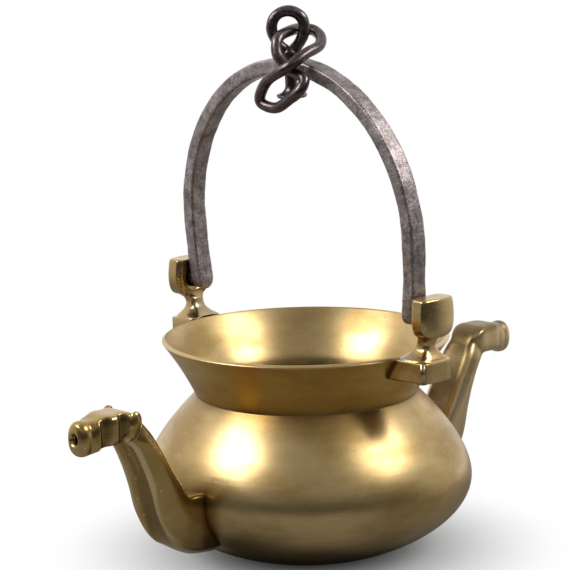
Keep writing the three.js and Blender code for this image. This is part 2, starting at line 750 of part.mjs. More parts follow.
// Leans and slides a piece with the bail, from upright to the bail's rest
function leaning(mesh) {
  mesh.rotation.y = BAIL_LEAN;
  mesh.position.set(0, 0, -PIVOT_HEIGHT).applyEuler(mesh.rotation);
  mesh.position.z += PIVOT_HEIGHT;
  mesh.position.y += BAIL_SLIDE;
  return mesh;
}

const lavabo = new THREE.Group();
const spoutBody = spout();
const lugBody = lug();
lavabo.add(
  piece('kettle', kettle(), BRASS),
  opposite(piece('spout_front', spoutBody, BRASS)),
  piece('spout_rear', spoutBody, BRASS),
  opposite(piece('lug_front', lugBody, BRASS)),
  piece('lug_rear', lugBody, BRASS),
  leaning(piece('bail', bail(), IRON)),
  leaning(piece('swivel_eye', swivelEye(), DARK_IRON)),
  leaning(piece('figure_eight_link', figureEightLink(), DARK_IRON)),
);

export default lavabo;
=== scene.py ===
"""Looks of a hanging lavabo kettle: cast brass with two animal-head spouts, and a bail, eye and link of iron.

Sizes are in millimetres in the frame of the CAD part, and turn into metres when a mesh is made.
"""
import math

import bpy
import numpy as np
from mathutils import Matrix, Vector, noise

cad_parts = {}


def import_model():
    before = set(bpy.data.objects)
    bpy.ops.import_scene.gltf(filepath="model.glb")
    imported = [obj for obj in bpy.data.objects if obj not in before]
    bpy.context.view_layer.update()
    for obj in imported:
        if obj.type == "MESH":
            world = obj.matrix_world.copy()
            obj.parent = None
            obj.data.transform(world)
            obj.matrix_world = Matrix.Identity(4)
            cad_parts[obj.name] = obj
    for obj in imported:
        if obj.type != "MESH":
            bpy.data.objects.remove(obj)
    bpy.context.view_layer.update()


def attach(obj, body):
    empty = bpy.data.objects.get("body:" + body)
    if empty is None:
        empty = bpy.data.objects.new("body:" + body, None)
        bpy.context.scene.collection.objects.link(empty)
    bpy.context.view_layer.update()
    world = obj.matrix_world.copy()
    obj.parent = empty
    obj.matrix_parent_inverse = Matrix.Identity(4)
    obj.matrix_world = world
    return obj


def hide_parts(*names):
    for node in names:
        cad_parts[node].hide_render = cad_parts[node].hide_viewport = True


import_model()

MM = 0.001
AXIS = 0.01  # radius of a turned form at its axis
NO_START = (0.3, 0.2, 1.0)  # a direction in which no rod starts
CORNER_STEPS, ROD_SIDES = 5, 32

# Kettle
BASE_RADIUS = 38
BELLY_RADIUS, BELLY_HEIGHT = 103, 47
NECK_RADIUS, NECK_HEIGHT = 69.5, 101
RIM_RADIUS, RIM_HEIGHT = 90, 135
UNDERSIDE_REACH, UNDERSIDE_RISE = 16, 28  # handles of the curve from base to belly
SHOULDER_RISE, SHOULDER_REACH = 15, 28  # handles of the curve from belly to neck
FUNNEL_HOLLOW = 1.6
CREASE = 0.5  # rounding between shoulder and funnel
WALL = 2.8
LIP_ROUND = 0.7
BOWL_STEPS, FUNNEL_STEPS, KETTLE_SIDES, KEEPOUT_SIDES = 40, 24, 240, 180
WATERWAY_RADIUS, WATERWAY_HEIGHT = 3.6, 37  # holes through the wall
DRILL_REACH = 150  # past the belly on both sides
SEAM = 0.12  # open seam round the brazed pieces
COVER_INSET, COVER_LIFT, COVER_RISE = 0.6, 2.2, 11  # cone over the mouth, in which nothing may stand

# Spouts
TIP = 190
HEAD_HEIGHT = 105.4
ROOT_TOP, ROOT_BOTTOM, ROOT_HALF_WIDTH = 57, 17, 13
NECK_HALF_WIDTH, NECK_TAPER, NECK_WAIST = 13.3, 0.9, 1.8  # narrower towards the head and right under it
NAPE_FLARE = 1.6  # how much wider the nape is than the throat, halfway up
KEEL, CHANNEL = 4.5, 5.8  # height at the root, and depth above it
SIDE_BULGE, NAPE_HOLLOW = 1.2, 0.4
THROAT_EDGE, NAPE_EDGE, WORN_NAPE_EDGE = 3.4, 2.6, 5.5
NECK_RINGS, HEAD_RINGS, HEAD_SIDES = 90, 72, 72
FLUTES = (16.4, 28.2)  # distances from the tip
FLUTE_HALF_WIDTH, FLUTE_DEPTH = 3.6, 2.8
WORN_FLUTE, WORN_FLUTE_HALF_WIDTH, WORN_FLUTE_DEPTH = 14.5, 5.5, 1.2
HEAD_LENGTH = 46
EAR_BACK, EAR_LEAN = 36, 1
EAR_FOOT, EAR_LENGTH = 98.6, 19
EAR_PLACE, EAR_SPREAD = 9.4, 2.8
EAR_HALF_WIDTH, EAR_HALF_THICK, EAR_POINT = 5.6, 3.3, 0.2
EAR_RINGS, EAR_SIDES = 30, 28
MOUTH_DEPTH, MOUTH_FLARE, MOUTH_PAST = 24, 6, 4  # bottom, start of the flare, and end past the tip
MOUTH_RADII = (3.2, 3.5, 4.1)
SPOUT_VOXEL, CRISP, WORN = 0.45, 4, 30  # mesh width, and rounds of smoothing

# Lugs
ARM_END, ARM_CROWN = 111, 0.4
ARM_HALF_WIDTH = 13.5
ARM_BOTTOM, ARM_TOP = 122.4, 135.2
ARM_BURIED = 2.2  # how far the arm starts inside the funnel's face
NOTCH_PLACE, NOTCH_INSET, NOTCH_RADIUS = 13.2, 0.4, 1.9
NOTCH_BOTTOM, NOTCH_TOP = 118, 136.5
LUG_NECK_RINGS, LUG_NECK_SIDES, LUG_NECK_SQUARE = 36, 48, 0.55
LUG_INNER, LUG_OUTER = 100.3, 114.5
LUG_HEAD_BASE, LUG_HEAD_TOP = 150, 173.5
LUG_HALF_WIDTH, LUG_CORNER, LUG_BULGE = 14.3, 2.8, 2.6
LUG_FRONT, LUG_FRONT_CORNER = 0.86, 1.4  # share of the half width, and times the other corners
LUG_HEAD_RINGS, LUG_FRONT_STEPS = 34, 15
PIVOT_HEIGHT = 161
SOCKET_RADIUS, SOCKET_DEPTH = 4.9, 9
DISH_RADIUS, DISH_DEPTH = 9.6, 3.4
SOCKET_SIDES, NOTCH_SIDES = 40, 24
LUG_VOXEL = 0.4

# Bail
BAIL_END = 92.3
BAIL_HALF_SPAN = 95.3
BAIL_WIDEST = 205
APEX_HEIGHT = 305.5
BAIL_THICKNESS, BAIL_DEPTH, BAIL_CHAMFER = 9, 12.5, 1
APEX_SWELL, APEX_SWELL_LENGTH = 2.6, 9
JOURNAL_RADIUS, JOURNAL_DEPTH = 4.5, 7.4
STEM_HOLE, HOLE_REACH = 4.2, 12
BAIL_LEAN = math.radians(-3)  # about the journals, at rest
BAIL_SLIDE = 1.2  # along the journals, at rest
LEG_STEPS, CROWN_STEPS, END_STEPS = 40, 140, 12
BAIL_VOXEL, BAIL_SMOOTHING = 0.55, 3
BAIL_HAMMERING = ((16, 0.5), (5, 0.16), (1.6, 0.05))  # wavelength and height

# Swivel eye and link
STEM_RADIUS, STEM_HEAD_RADIUS, STEM_HEAD_HEIGHT = 3.8, 9.6, 7.5
STEM_DROP = 8  # from the underside of the bail to the stem's head
EYE_FOOT = 310.3
EYE_ROD, LINK_ROD = 7, 6.8
EYE_HEIGHT, EYE_HALF_WIDTH, EYE_FULLNESS = 25, 10.3, 1.12
EYE_OPENING = 0.5  # angle left open at the eye's foot
EYE_TURN = math.radians(-45)
COLLAR_RADIUS, COLLAR_HEIGHT = EYE_ROD / 2 + 1.2, 3.6
EYE_STEPS, EYE_SIDES, FLARE_STEPS, STEM_SIDES = 90, 24, 12, 40
EYE_VOXEL, EYE_SMOOTHING = 0.4, 5
EYE_HAMMERING = ((9, 0.3), (2.5, 0.08))
LINK_LENGTH = 54
LINK_STEPS, LINK_SIDES = 260, 28
LINK_ROUNDING = 3  # neighbours on each side that round off the line
LINK_HAMMERING = ((10, 0.15), (3, 0.06))

# Colours
BRASS_DARK, BRASS_LIGHT = (0.41, 0.275, 0.105), (0.62, 0.445, 0.21)
# Rubbed brass, laid on edges and on the spout channel's rims partly as a painted highlight, and scratched
# brass
BRASS_RUBBED_AND_HIGHLIGHT, BRASS_SCRATCH = (0.76, 0.59, 0.34), (0.72, 0.6, 0.42)
# Dirt with painted shade in hollows, dirt with painted shade where marked, painted shade with dirt in concave
# creases, and dark pits
DIRT_AND_HOLLOW_SHADE, GRIME_AND_SHADE, CREVICE, PIT = (0.12, 0.075, 0.025), (0.1, 0.06, 0.02), (0.16, 0.1, 0.035), (0.2, 0.14, 0.06)
SHADED_BRASS = (0.3, 0.19, 0.06)
# Amber of the funnel's downward face: a painted warm reflection of the shoulder, partly tarnish
AMBER_DARK, AMBER_LIGHT = (0.5, 0.3, 0.075), (0.7, 0.46, 0.13)
SPOUT_AMBER, SPOUT_PALE = (0.43, 0.275, 0.085), (0.66, 0.5, 0.275)
SOLDER = (0.4, 0.365, 0.325)
BAIL_DARK, BAIL_LIGHT = (0.14, 0.11, 0.104), (0.58, 0.51, 0.5)
IRON_DARK, IRON_LIGHT = (0.07, 0.05, 0.049), (0.18, 0.143, 0.142)
IRON_WEAR = 1.7  # how much lighter worn iron is
WHITE = (1, 1, 1)
HOLLOW_REACH, SHADE_REACH = 0.006, 0.03  # how far off a face counts as near for the occlusion that paints shade, in metres

# Studio
CAMERA_AZIMUTH, CAMERA_ELEVATION, CAMERA_ROLL = -44.54, 10.88, -1.176
CAMERA_DISTANCE = 1.56375
CAMERA_AIM = Vector((-0.00342, 0.01395, 0.16663))
CAMERA_LENS, SENSOR_WIDTH = 158, 36
LAMP_AIM = Vector((0, 0, 0.12))
STUDIO_TURN = 5  # degrees from the azimuth of the camera to the dark side of the studio
FLOOR_HALF, FLOOR_DROP = 4000, 0.3
FLOOR_GREY, FLOOR_ROUGHNESS = 0.27, 0.9
FLOOR_SEEN, FLOOR_MIRRORED = (0.03, 0.17), (0.3, 0.9)  # where the floor fades to white, in metres


# Curves

def unit(vector):
    return vector / np.linalg.norm(vector)


def circle(count):
    """Angles evenly round a full turn."""
    return np.arange(count) / count * 2 * math.pi


def squarish(values, power):
    """Sines or cosines of a circle that is drawn out towards a square."""
    return np.sign(values) * np.abs(values) ** power


def catmull_rom(points, count, closed=False):
    """Points along a smooth line through the given ones, evenly spread over its spans."""
    p = np.asarray(points, float)
    n = len(p)
    if closed:
        p = np.vstack([p[-1], p, p[0], p[1]])
        spans = n
        places = np.arange(count) / count * spans
    else:
        p = np.vstack([2 * p[0] - p[1], p, 2 * p[-1] - p[-2]])
        spans = n - 1
        places = np.linspace(0, spans, count)
    span = np.minimum(places.astype(int), spans - 1)
    t = (places - span)[:, None]
    before, start, end, after = (p[span + i] for i in range(4))
    d0, d1, d2 = (np.maximum(np.linalg.norm(b - a, axis=1, keepdims=True), 1e-9) ** 0.5
                  for a, b in ((before, start), (start, end), (end, after)))
    slope_start = ((start - before) / d0 - (end - before) / (d0 + d1) + (end - start) / d1) * d1
    slope_end = ((end - start) / d1 - (after - start) / (d1 + d2) + (after - end) / d2) * d1
    return hermite(t, start, end, slope_start, slope_end)


def hermite(t, start, end, slope_start, slope_end):
    return ((2 * t**3 - 3 * t**2 + 1) * start + (t**3 - 2 * t**2 + t) * slope_start
            + (3 * t**2 - 2 * t**3) * end + (t**3 - t**2) * slope_end)


def smooth_line(knots, places):
    """Values of a smooth line through (place, value) knots."""
    x, y = np.array(knots, float).T
    slopes = np.gradient(y, x)
    i = np.clip(np.searchsorted(x, places) - 1, 0, len(x) - 2)
    h = x[i + 1] - x[i]
    t = np.clip((places - x[i]) / h, 0, 1)
    return hermite(t, y[i], y[i + 1], h * slopes[i], h * slopes[i + 1])


def bezier(points, count):
    t = np.linspace(0, 1, count)[:, None]
    line = [np.asarray(p, float) for p in points]
    while len(line) > 1:
        line = [(1 - t) * a + t * b for a, b in zip(line, line[1:])]
    return line[0]


def step(low, high, x):
    """A smooth rise from nought to one between two values."""
    t = np.clip((x - low) / (high - low), 0, 1)
    return t * t * (3 - 2 * t)


# Meshes

def mesh_piece(name, points, faces):
    mesh = bpy.data.meshes.new(name)
    mesh.from_pydata((np.asarray(points) * MM).tolist(), [], faces)
    mesh.update()
    piece = bpy.data.objects.new(name, mesh)
    bpy.context.scene.collection.objects.link(piece)
    return piece


def loft(name, rings, closed=False):
    """A skin over a row of rings, with flat ends unless the row is closed."""
    rings = np.asarray(rings, float)
    rows, count = rings.shape[:2]
    faces = []
    for i in range(rows if closed else rows - 1):
        here, there = i * count, (i + 1) % rows * count
        for j in range(count):
            k = (j + 1) % count
            faces.append((here + j, here + k, there + k, there + j))
    if not closed:
        faces.append(tuple(range(count))[::-1])
        faces.append(tuple(range((rows - 1) * count, rows * count)))
    return mesh_piece(name, rings.reshape(-1, 3), faces)


def lathe(name, profile, sides):
    """A closed profile of radius and height, turned about the Z axis."""
    rings = [[(r * math.cos(a), -r * math.sin(a), z) for r, z in profile] for a in circle(sides)]
    return loft(name, rings, closed=True)


def rod(name, line, radii, sides, closed=False):
    """A round rod of changing radius along a line."""
    line = np.asarray(line, float)
    if closed:
        along = np.roll(line, -1, axis=0) - np.roll(line, 1, axis=0)
    else:
        along = np.gradient(line, axis=0)
    along /= np.linalg.norm(along, axis=1, keepdims=True)
    normal = np.cross(along[0], NO_START)
    frames = []
    for way in along:
        normal = unit(normal - normal.dot(way) * way)
        frames.append((normal, np.cross(way, normal)))
    twist = 0
    if closed:
        first_normal, first_across = frames[0]
        last = frames[-1][0] - frames[-1][0].dot(along[0]) * along[0]
        twist = math.atan2(last.dot(first_across), last.dot(first_normal))
    rings = []
    for i, (centre, (normal, across)) in enumerate(zip(line, frames)):
        angles = (circle(sides) - twist * i / len(line))[:, None]
        rings.append(centre + radii[i] * (np.cos(angles) * normal + np.sin(angles) * across))
    return loft(name, rings, closed)


def along_pivot(name, start, end, radii, sides):
    """A rod on the axis of the bail's journals."""
    return rod(name, [(0, start, PIVOT_HEIGHT), (0, end, PIVOT_HEIGHT)], radii, sides)


def apply_modifiers(piece):
    graph = bpy.context.evaluated_depsgraph_get()
    mesh = bpy.data.meshes.new_from_object(piece.evaluated_get(graph))
    piece.modifiers.clear()
    old = piece.data
    piece.data = mesh
    bpy.data.meshes.remove(old)
    return piece


def joined(name, parts, voxel, smoothing):
    """One skin round several overlapping bodies, softened as a casting is."""
    with bpy.context.temp_override(active_object=parts[0], object=parts[0],
                                   selected_objects=parts, selected_editable_objects=parts):
        bpy.ops.object.join()
    whole = parts[0]
    whole.name = name
    remesh = whole.modifiers.new("skin", "REMESH")
    remesh.mode = "VOXEL"
    remesh.voxel_size = voxel * MM
    soften = whole.modifiers.new("soften", "SMOOTH")
    soften.factor = 0.5
    soften.iterations = smoothing
    return apply_modifiers(whole)


def cut(piece, *tools):
    for tool in tools:
        modifier = piece.modifiers.new("cut", "BOOLEAN")
        modifier.operation = "DIFFERENCE"
        modifier.solver = "EXACT"
        modifier.object = tool
        apply_modifiers(piece)
        bpy.data.objects.remove(tool)
    return piece


def hammered(piece, waves, bearing=None):
    """Moves the skin in and out by soft noise, but not where a bearing runs."""
    mesh = piece.data
    for vertex, normal in zip(mesh.vertices, [v.normal.copy() for v in mesh.vertices]):
        place = vertex.co / MM
        if bearing and bearing(*place):
            continue
        shift = sum(height * noise.noise(place / length) for length, height in waves)
        vertex.co += normal * shift * MM
    mesh.update()
    return piece


def grimed_and_shaded(piece, grime_and_shade_at):
    """Marks how much dirt and painted shade each point of a piece gets, or below nought how rubbed it is with
    a painted highlight, by a function of its place.
    """
    places = np.array([vertex.co for vertex in piece.data.vertices]) / MM
    grime_and_shade = piece.data.attributes.new("grime_and_shade", "FLOAT", "POINT")
    grime_and_shade.data.foreach_set("value", np.clip(grime_and_shade_at(places), -1, 1))
    return piece


def turned(piece):
    """Moves a piece to the opposite side of the kettle."""
    piece.data.transform(Matrix.Rotation(math.pi, 4, "Z"))
    return piece


def opposite(piece, name):
    """A second piece on the opposite side of the kettle."""
    twin = bpy.data.objects.new(name, piece.data.copy())
    bpy.context.scene.collection.objects.link(twin)
    return turned(twin)


def leaning(piece):
    """Moves an upright piece of the bail to where it rests."""
    pivot = Matrix.Translation((0, 0, PIVOT_HEIGHT * MM))
    slide = Matrix.Translation((0, BAIL_SLIDE * MM, 0))
    piece.data.transform(slide @ pivot @ Matrix.Rotation(BAIL_LEAN, 4, "Y") @ pivot.inverted())
    return piece


def placed(piece, body, node, material):
    piece.data.materials.clear()
    piece.data.materials.append(material)
    piece.data.polygons.foreach_set("use_smooth", [True] * len(piece.data.polygons))
    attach(piece, body)
    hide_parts(node)


# Kettle

def kettle_profile():
    """The outside of the kettle, from the middle of the base to the lip."""
    slope = SHOULDER_REACH * math.sqrt(0.5)
    belly = (BELLY_RADIUS, BELLY_HEIGHT)
    neck = np.array((NECK_RADIUS, NECK_HEIGHT))
    lip = np.array((RIM_RADIUS, RIM_HEIGHT))
    underside = bezier([(BASE_RADIUS, 0), (BASE_RADIUS + UNDERSIDE_REACH, 0),
                        (BELLY_RADIUS, BELLY_HEIGHT - UNDERSIDE_RISE), belly], BOWL_STEPS)
    shoulder = bezier([belly, (BELLY_RADIUS, BELLY_HEIGHT + SHOULDER_RISE),
                       (NECK_RADIUS + slope, NECK_HEIGHT - slope), neck], BOWL_STEPS)
    funnel = bezier([neck, (neck + lip) / 2 + (-FUNNEL_HOLLOW, FUNNEL_HOLLOW), lip], FUNNEL_STEPS)
    shoulder = shoulder[np.linalg.norm(shoulder - neck, axis=1) > CREASE]
    funnel = funnel[np.linalg.norm(funnel - neck, axis=1) > CREASE]
    down, up = CREASE * unit(shoulder[-1] - neck), CREASE * unit(funnel[0] - neck)
    crease = bezier([neck + down, neck, neck + up], CORNER_STEPS)
    return np.vstack([[(AXIS, 0)], underside, shoulder[1:], crease, funnel])


def offset(profile, distance):
    """A profile moved outwards by an even distance."""
    along = np.diff(profile, axis=0)
    along /= np.linalg.norm(along, axis=1, keepdims=True)
    normals = np.stack([along[:, 1], -along[:, 0]], axis=1)
    before = np.vstack([normals[:1], normals])
    after = np.vstack([normals, normals[-1:]])
    share = 1 + (before * after).sum(axis=1, keepdims=True)
    return profile + (before + after) * distance / share


def funnel_radius(z):
    """Radius of the funnel's straight outer face at a height."""
    return NECK_RADIUS + (RIM_RADIUS - NECK_RADIUS) * (z - NECK_HEIGHT) / (RIM_HEIGHT - NECK_HEIGHT)


def kettle():
    outside = kettle_profile()
    inside = offset(outside, -WALL)
    inside[:, 0] = np.maximum(inside[:, 0], AXIS)
    rise = LIP_ROUND * unit(outside[-1] - outside[-2])
    across = LIP_ROUND * unit(inside[-1] - outside[-1])
    lip = bezier([outside[-1] - rise, outside[-1], outside[-1] + across], CORNER_STEPS)
    lip_in = bezier([inside[-1] - across, inside[-1], inside[-1] - rise], CORNER_STEPS)
    body = lathe("kettle_cast", np.vstack([outside[:-1], lip, lip_in, inside[-2::-1]]), KETTLE_SIDES)
    drill = rod("drill", [(-DRILL_REACH, 0, WATERWAY_HEIGHT), (DRILL_REACH, 0, WATERWAY_HEIGHT)],
                [WATERWAY_RADIUS] * 2, ROD_SIDES)
    return grimed_and_shaded(cut(body, drill), kettle_grime_and_shade)


def kettle_grime_and_shade(places):
    """Darker round the roots of the spouts, and painted shade at the crease of the neck and at the bottom of
    the funnel's inside.
    """
    root_spread, crease_spread = 7, 1.6
    root_radius, root_side = 88, 60
    funnel_start, funnel_bottom = 80, (104.5, 109)
    x, y, z = places.T
    radius = np.hypot(x, y)
    beside = np.maximum(np.abs(y) - ROOT_HALF_WIDTH, 0)
    above = np.maximum(np.abs(z - (ROOT_TOP + ROOT_BOTTOM) / 2) - (ROOT_TOP - ROOT_BOTTOM) / 2, 0)
    near_root = (radius > root_radius) * (np.abs(x) > root_side)
    root = 0.9 * np.exp(-np.hypot(beside, above) / root_spread) * near_root
    # painted shade along the crease of the neck
    crease = 0.7 * np.exp(-np.abs(z - NECK_HEIGHT) / crease_spread) * (radius > NECK_RADIUS - 1)
    # painted shade at the bottom of the funnel's inside, where it turns down into the bowl
    in_funnel = (radius < funnel_radius(z) - WALL / 2) * (z > funnel_start)
    inside = 0.95 * (1 - step(*funnel_bottom, z)) * in_funnel
    return np.maximum.reduce([root, crease, inside])


def kettle_keepout():
    """The room of the kettle with a narrow seam, and a low cone over its mouth."""
    outside = offset(kettle_profile(), SEAM)
    outside[0] = (AXIS, -SEAM)
    lip = outside[-1] + (-COVER_INSET, COVER_LIFT)
    return lathe("keepout", np.vstack([outside, [lip, (AXIS, RIM_HEIGHT + COVER_RISE)]]), KEEPOUT_SIDES)


# Spouts, for the +X side

def spout_lines():
    """The throat and the nape of the neck, from root to head."""
    throat = [(89, 16.2), (107.3, 19.3), (123.9, 30.2), (135.2, 48), (140.8, 66.6), (146, 80.6),
              (153.9, 95.3), (162, 101.5)]
    nape = [(89, 56.4), (103.9, 57.4), (113.6, 58.8), (120.2, 68.2), (125.8, 77), (133, 89.4),
            (141.2, 102.6), (150, 114.2)]
    return catmull_rom(throat, NECK_RINGS), catmull_rom(nape, NECK_RINGS)


def spout_neck(nape_edge):
    """The neck from root to head: keeled at the root, and with a channel down the throat above it."""
    keel_end, waist = 0.55, (0.82, 0.98)
    rings = []
    for t, low, high in zip(np.linspace(0, 1, NECK_RINGS), *spout_lines()):
        centre = (low + high) / 2
        half_thick = np.linalg.norm(low - centre)
        across = (low - centre) / half_thick
        under_head = step(*waist, t)
        throat_half = NECK_HALF_WIDTH - NECK_TAPER * t - NECK_WAIST * under_head
        nape_half = throat_half + NAPE_FLARE * math.sin(math.pi * t)
        keel = KEEL - (KEEL + CHANNEL) * step(0, keel_end, t)
        bulge = SIDE_BULGE * (1 - under_head)
        section = neck_section(throat_half, nape_half, half_thick, keel, bulge, nape_edge)
        rings.append([(centre[0] + across[0] * thick, wide, centre[1] + across[1] * thick)
                      for wide, thick in section])
    return loft("neck", rings)


def neck_section(throat_half, nape_half, half_thick, keel, bulge, nape_edge):
    """A bar with round edges and full sides, whose throat has a keel, or a channel if that is negative."""
    edge_steps, face_steps = 6, 15
    points = []
    quarter = math.pi / 2
    throat = half_thick - max(keel, 0)

    def on_corner(corner, angle):
        at_throat = corner < 2
        half_wide = throat_half if at_throat else nape_half
        edge = min(THROAT_EDGE if at_throat else nape_edge, 0.85 * throat)
        side = 1 if corner in (0, 3) else -1
        height = throat - edge if at_throat else edge - half_thick
        wide = side * (half_wide - edge) + edge * math.cos(angle)
        return np.array((wide, height + edge * math.sin(angle)))

    for face, hollow in enumerate((-keel, -bulge, NAPE_HOLLOW, -bulge)):
        facing = (face + 1) * quarter
        steep = 4 if hollow > 1 else 2
        points += [on_corner(face, angle) for angle in np.linspace(facing - quarter, facing, edge_steps)]
        start, end = on_corner(face, facing), on_corner((face + 1) % 4, facing)
        inward = -np.array((math.cos(facing), math.sin(facing)))
        points += [start + (end - start) * share + inward * hollow * (1 - (2 * share - 1) ** steep)
                   for share in np.linspace(0, 1, face_steps)[1:-1]]
    return points


def fluting(back, worn):
    """Share of the depth of the flutes in the cheeks, by the distance from the tip: two, or a worn one."""
    if worn:
        return np.maximum(0, 1 - ((back - WORN_FLUTE) / WORN_FLUTE_HALF_WIDTH) ** 2) ** 2
    return sum(np.sqrt(np.maximum(0, 1 - ((back - flute) / FLUTE_HALF_WIDTH) ** 2)) for flute in FLUTES)


def spout_head(worn):
    """The head from muzzle to crown, by half widths, undersides and tops at distances from the tip."""
    widths = [(0, 4.2), (0.6, 5.6), (2, 7), (5, 7.8), (8, 7.5), (11, 9.2), (15, 10.4), (20, 11.2),
              (27, 11.9), (38, 12.2), (HEAD_LENGTH, 7.4)]
    undersides = [(0, -5.6), (0.6, -8), (2, -9.8), (5.5, -10.9), (9, -10.4), (12, -8.9), (16, -7.4),
                  (27, -6.5), (38, -6), (HEAD_LENGTH, -3.3)]
    tops = [(0, 5.6), (0.6, 7.8), (2, 9.4), (5.5, 10.4), (9, 9.8), (13, 10.3), (18, 11.8), (28, 12.2),
            (34, 11.9), (39, 9.6), (43, 5.6), (HEAD_LENGTH, 1)]
    places = np.concatenate([[0, 0.25, 0.6, 1.1, 1.8], np.linspace(2.6, HEAD_LENGTH, HEAD_RINGS)])
    rows = zip(places, *(smooth_line(knots, places) for knots in (widths, undersides, tops)))
    angles = circle(HEAD_SIDES)
    depth = WORN_FLUTE_DEPTH if worn else FLUTE_DEPTH
    muzzle_square, square_drop, brow = 0.86, 0.46, (8, 14)
    rings = []
    for back, half, bottom, top in rows:
        square = muzzle_square - square_drop * step(*brow, back)
        wide = half * squarish(np.cos(angles), square)
        rise = squarish(np.sin(angles), square)
        cheek = step(0.5, 0.85, np.abs(wide) / half) * (1 - 0.75 * step(0.75, 1, rise))
        wide = wide - np.sign(wide) * cheek * depth * fluting(back, worn)
        tall = (bottom + top) / 2 + (top - bottom) / 2 * rise
        rings.append(np.stack([np.full(HEAD_SIDES, TIP - back), wide, HEAD_HEIGHT + tall], axis=1))
    return loft("head", rings)


def spout_ears():
    """A rounded leaf, flat on the back of each cheek."""
    ears = []
    for side in (-1, 1):
        rings = []
        for s in np.linspace(0, 1, EAR_RINGS):
            swell = math.sin(math.pi * s) ** 0.5 * (0.5 + 0.5 * s)
            x, y = TIP - EAR_BACK - EAR_LEAN * s, side * (EAR_PLACE + EAR_SPREAD * step(0, 0.6, s))
            rings.append([(x + (EAR_POINT + EAR_HALF_WIDTH * swell) * math.cos(a),
                           y + (EAR_POINT + EAR_HALF_THICK * swell) * math.sin(a), EAR_FOOT + EAR_LENGTH * s)
                          for a in circle(EAR_SIDES)])
        ears.append(loft("ear", rings))
    return ears


def spout(name, worn):
    """The crisp front spout, or the worn rear one with soft edges, one faint flute and no ears."""
    if worn:
        body = joined(name, [spout_neck(WORN_NAPE_EDGE), spout_head(worn)], SPOUT_VOXEL, WORN)
    else:
        body = joined(name, [spout_neck(NAPE_EDGE), spout_head(worn), *spout_ears()], SPOUT_VOXEL, CRISP)
    mouth = rod("mouth", [(TIP - MOUTH_DEPTH, 0, HEAD_HEIGHT), (TIP - MOUTH_FLARE, 0, HEAD_HEIGHT),
                          (TIP + MOUTH_PAST, 0, HEAD_HEIGHT)], MOUTH_RADII, ROD_SIDES)
    cut(body, mouth, kettle_keepout())
    return grimed_and_shaded(body, lambda places: spout_grime_and_shade(places, worn))


def spout_grime_and_shade(places, worn):
    """Painted shade in the channel and flutes, darker on the nape and at the root, dirt on the crown, and
    rubbed rims on the channel that are partly a painted highlight.
    """
    channel_start, head_start = (0.2, 1 / 3), TIP - 30
    cheek_bottom, cheek_top, crown_rise = 96, 115, (111, 116)
    nape_fade, root_fade = (105, 114), (100, 108)
    x, y, z = places.T
    aside = np.abs(y)
    low, high = spout_lines()
    centre, across = (low + high) / 2, (low - high) / 2
    nearest = np.argmin(np.hypot(x[:, None] - centre[:, 0], z[:, None] - centre[:, 1]), axis=1)
    away = np.stack([x, z], axis=1) - centre[nearest]
    to_throat = (away * across[nearest]).sum(axis=1) / (across[nearest] ** 2).sum(axis=1)
    in_channel = step(0.2, 0.4, to_throat) * step(*channel_start, nearest / NECK_RINGS) * (x < head_start)
    # painted shade in the channel
    channel = 0.6 * in_channel * (1 - step(6, 8.5, aside))
    # rubbed rims, partly a painted highlight
    rims = in_channel * step(8, 9.5, aside) * step(0.6, 0.8, to_throat)
    on_cheek = step(4, 7, aside) * (z > cheek_bottom) * (z < cheek_top)
    # painted shade in the flutes
    flutes = (0.3 if worn else 0.8) * fluting(TIP - x, worn) ** 2 * on_cheek
    on_nape = step(0.55, 0.8, -to_throat) * (1 - step(8.5, 11, aside))
    nape = on_nape * (1 if worn else 0.5 * (1 - step(*nape_fade, z)))
    crown = (0.9 if worn else 0) * step(*crown_rise, z)
    root = 0.6 * (1 - step(*root_fade, np.hypot(x, y)))
    return np.maximum.reduce([channel, flutes, nape, crown, root]) - rims


# Lugs, for the +Y side

def lug_arm():
    """A block that starts inside the wall of the funnel."""
    half = ARM_HALF_WIDTH
    rings = []
    for z, size in ((ARM_BOTTOM, 0.97), (ARM_BOTTOM + 0.6, 1), (ARM_TOP - 1, 1), (ARM_TOP, 0.98)):
        inner = funnel_radius(z) - ARM_BURIED
        side = [(half, inner), (half, ARM_END), (half / 2, ARM_END + ARM_CROWN)]
        plan = side + [(-x, y) for x, y in side[::-1]]
        rings.append([(x * size, inner + (y - inner) * size, z) for x, y in plan])
    return loft("arm", rings)


def lug_neck():
    """The waisted neck, by height, half width, and inner and outer side."""
    levels = [(133, 13, 87.2, 110.1), (135.6, 12.9, 87.2, 110), (138.8, 8.8, 92, 108),
              (142, 5.8, 95.6, 106.4), (144.6, 5.3, 97, 106), (147.6, 5.9, 98, 107),
              (149.8, 8.2, 99.6, 109.6), (151.7, 10.6, 100.4, 112.4)]
    angles = circle(LUG_NECK_SIDES)
    wide, deep = squarish(np.cos(angles), LUG_NECK_SQUARE), squarish(np.sin(angles), LUG_NECK_SQUARE)
    rings = []
    for z, half, inner, outer in catmull_rom(levels, LUG_NECK_RINGS):
        outward = (inner + outer) / 2 + (outer - inner) / 2 * deep
        rings.append(np.stack([half * wide, outward, np.full(LUG_NECK_SIDES, z)], axis=1))
    return loft("neck", rings)


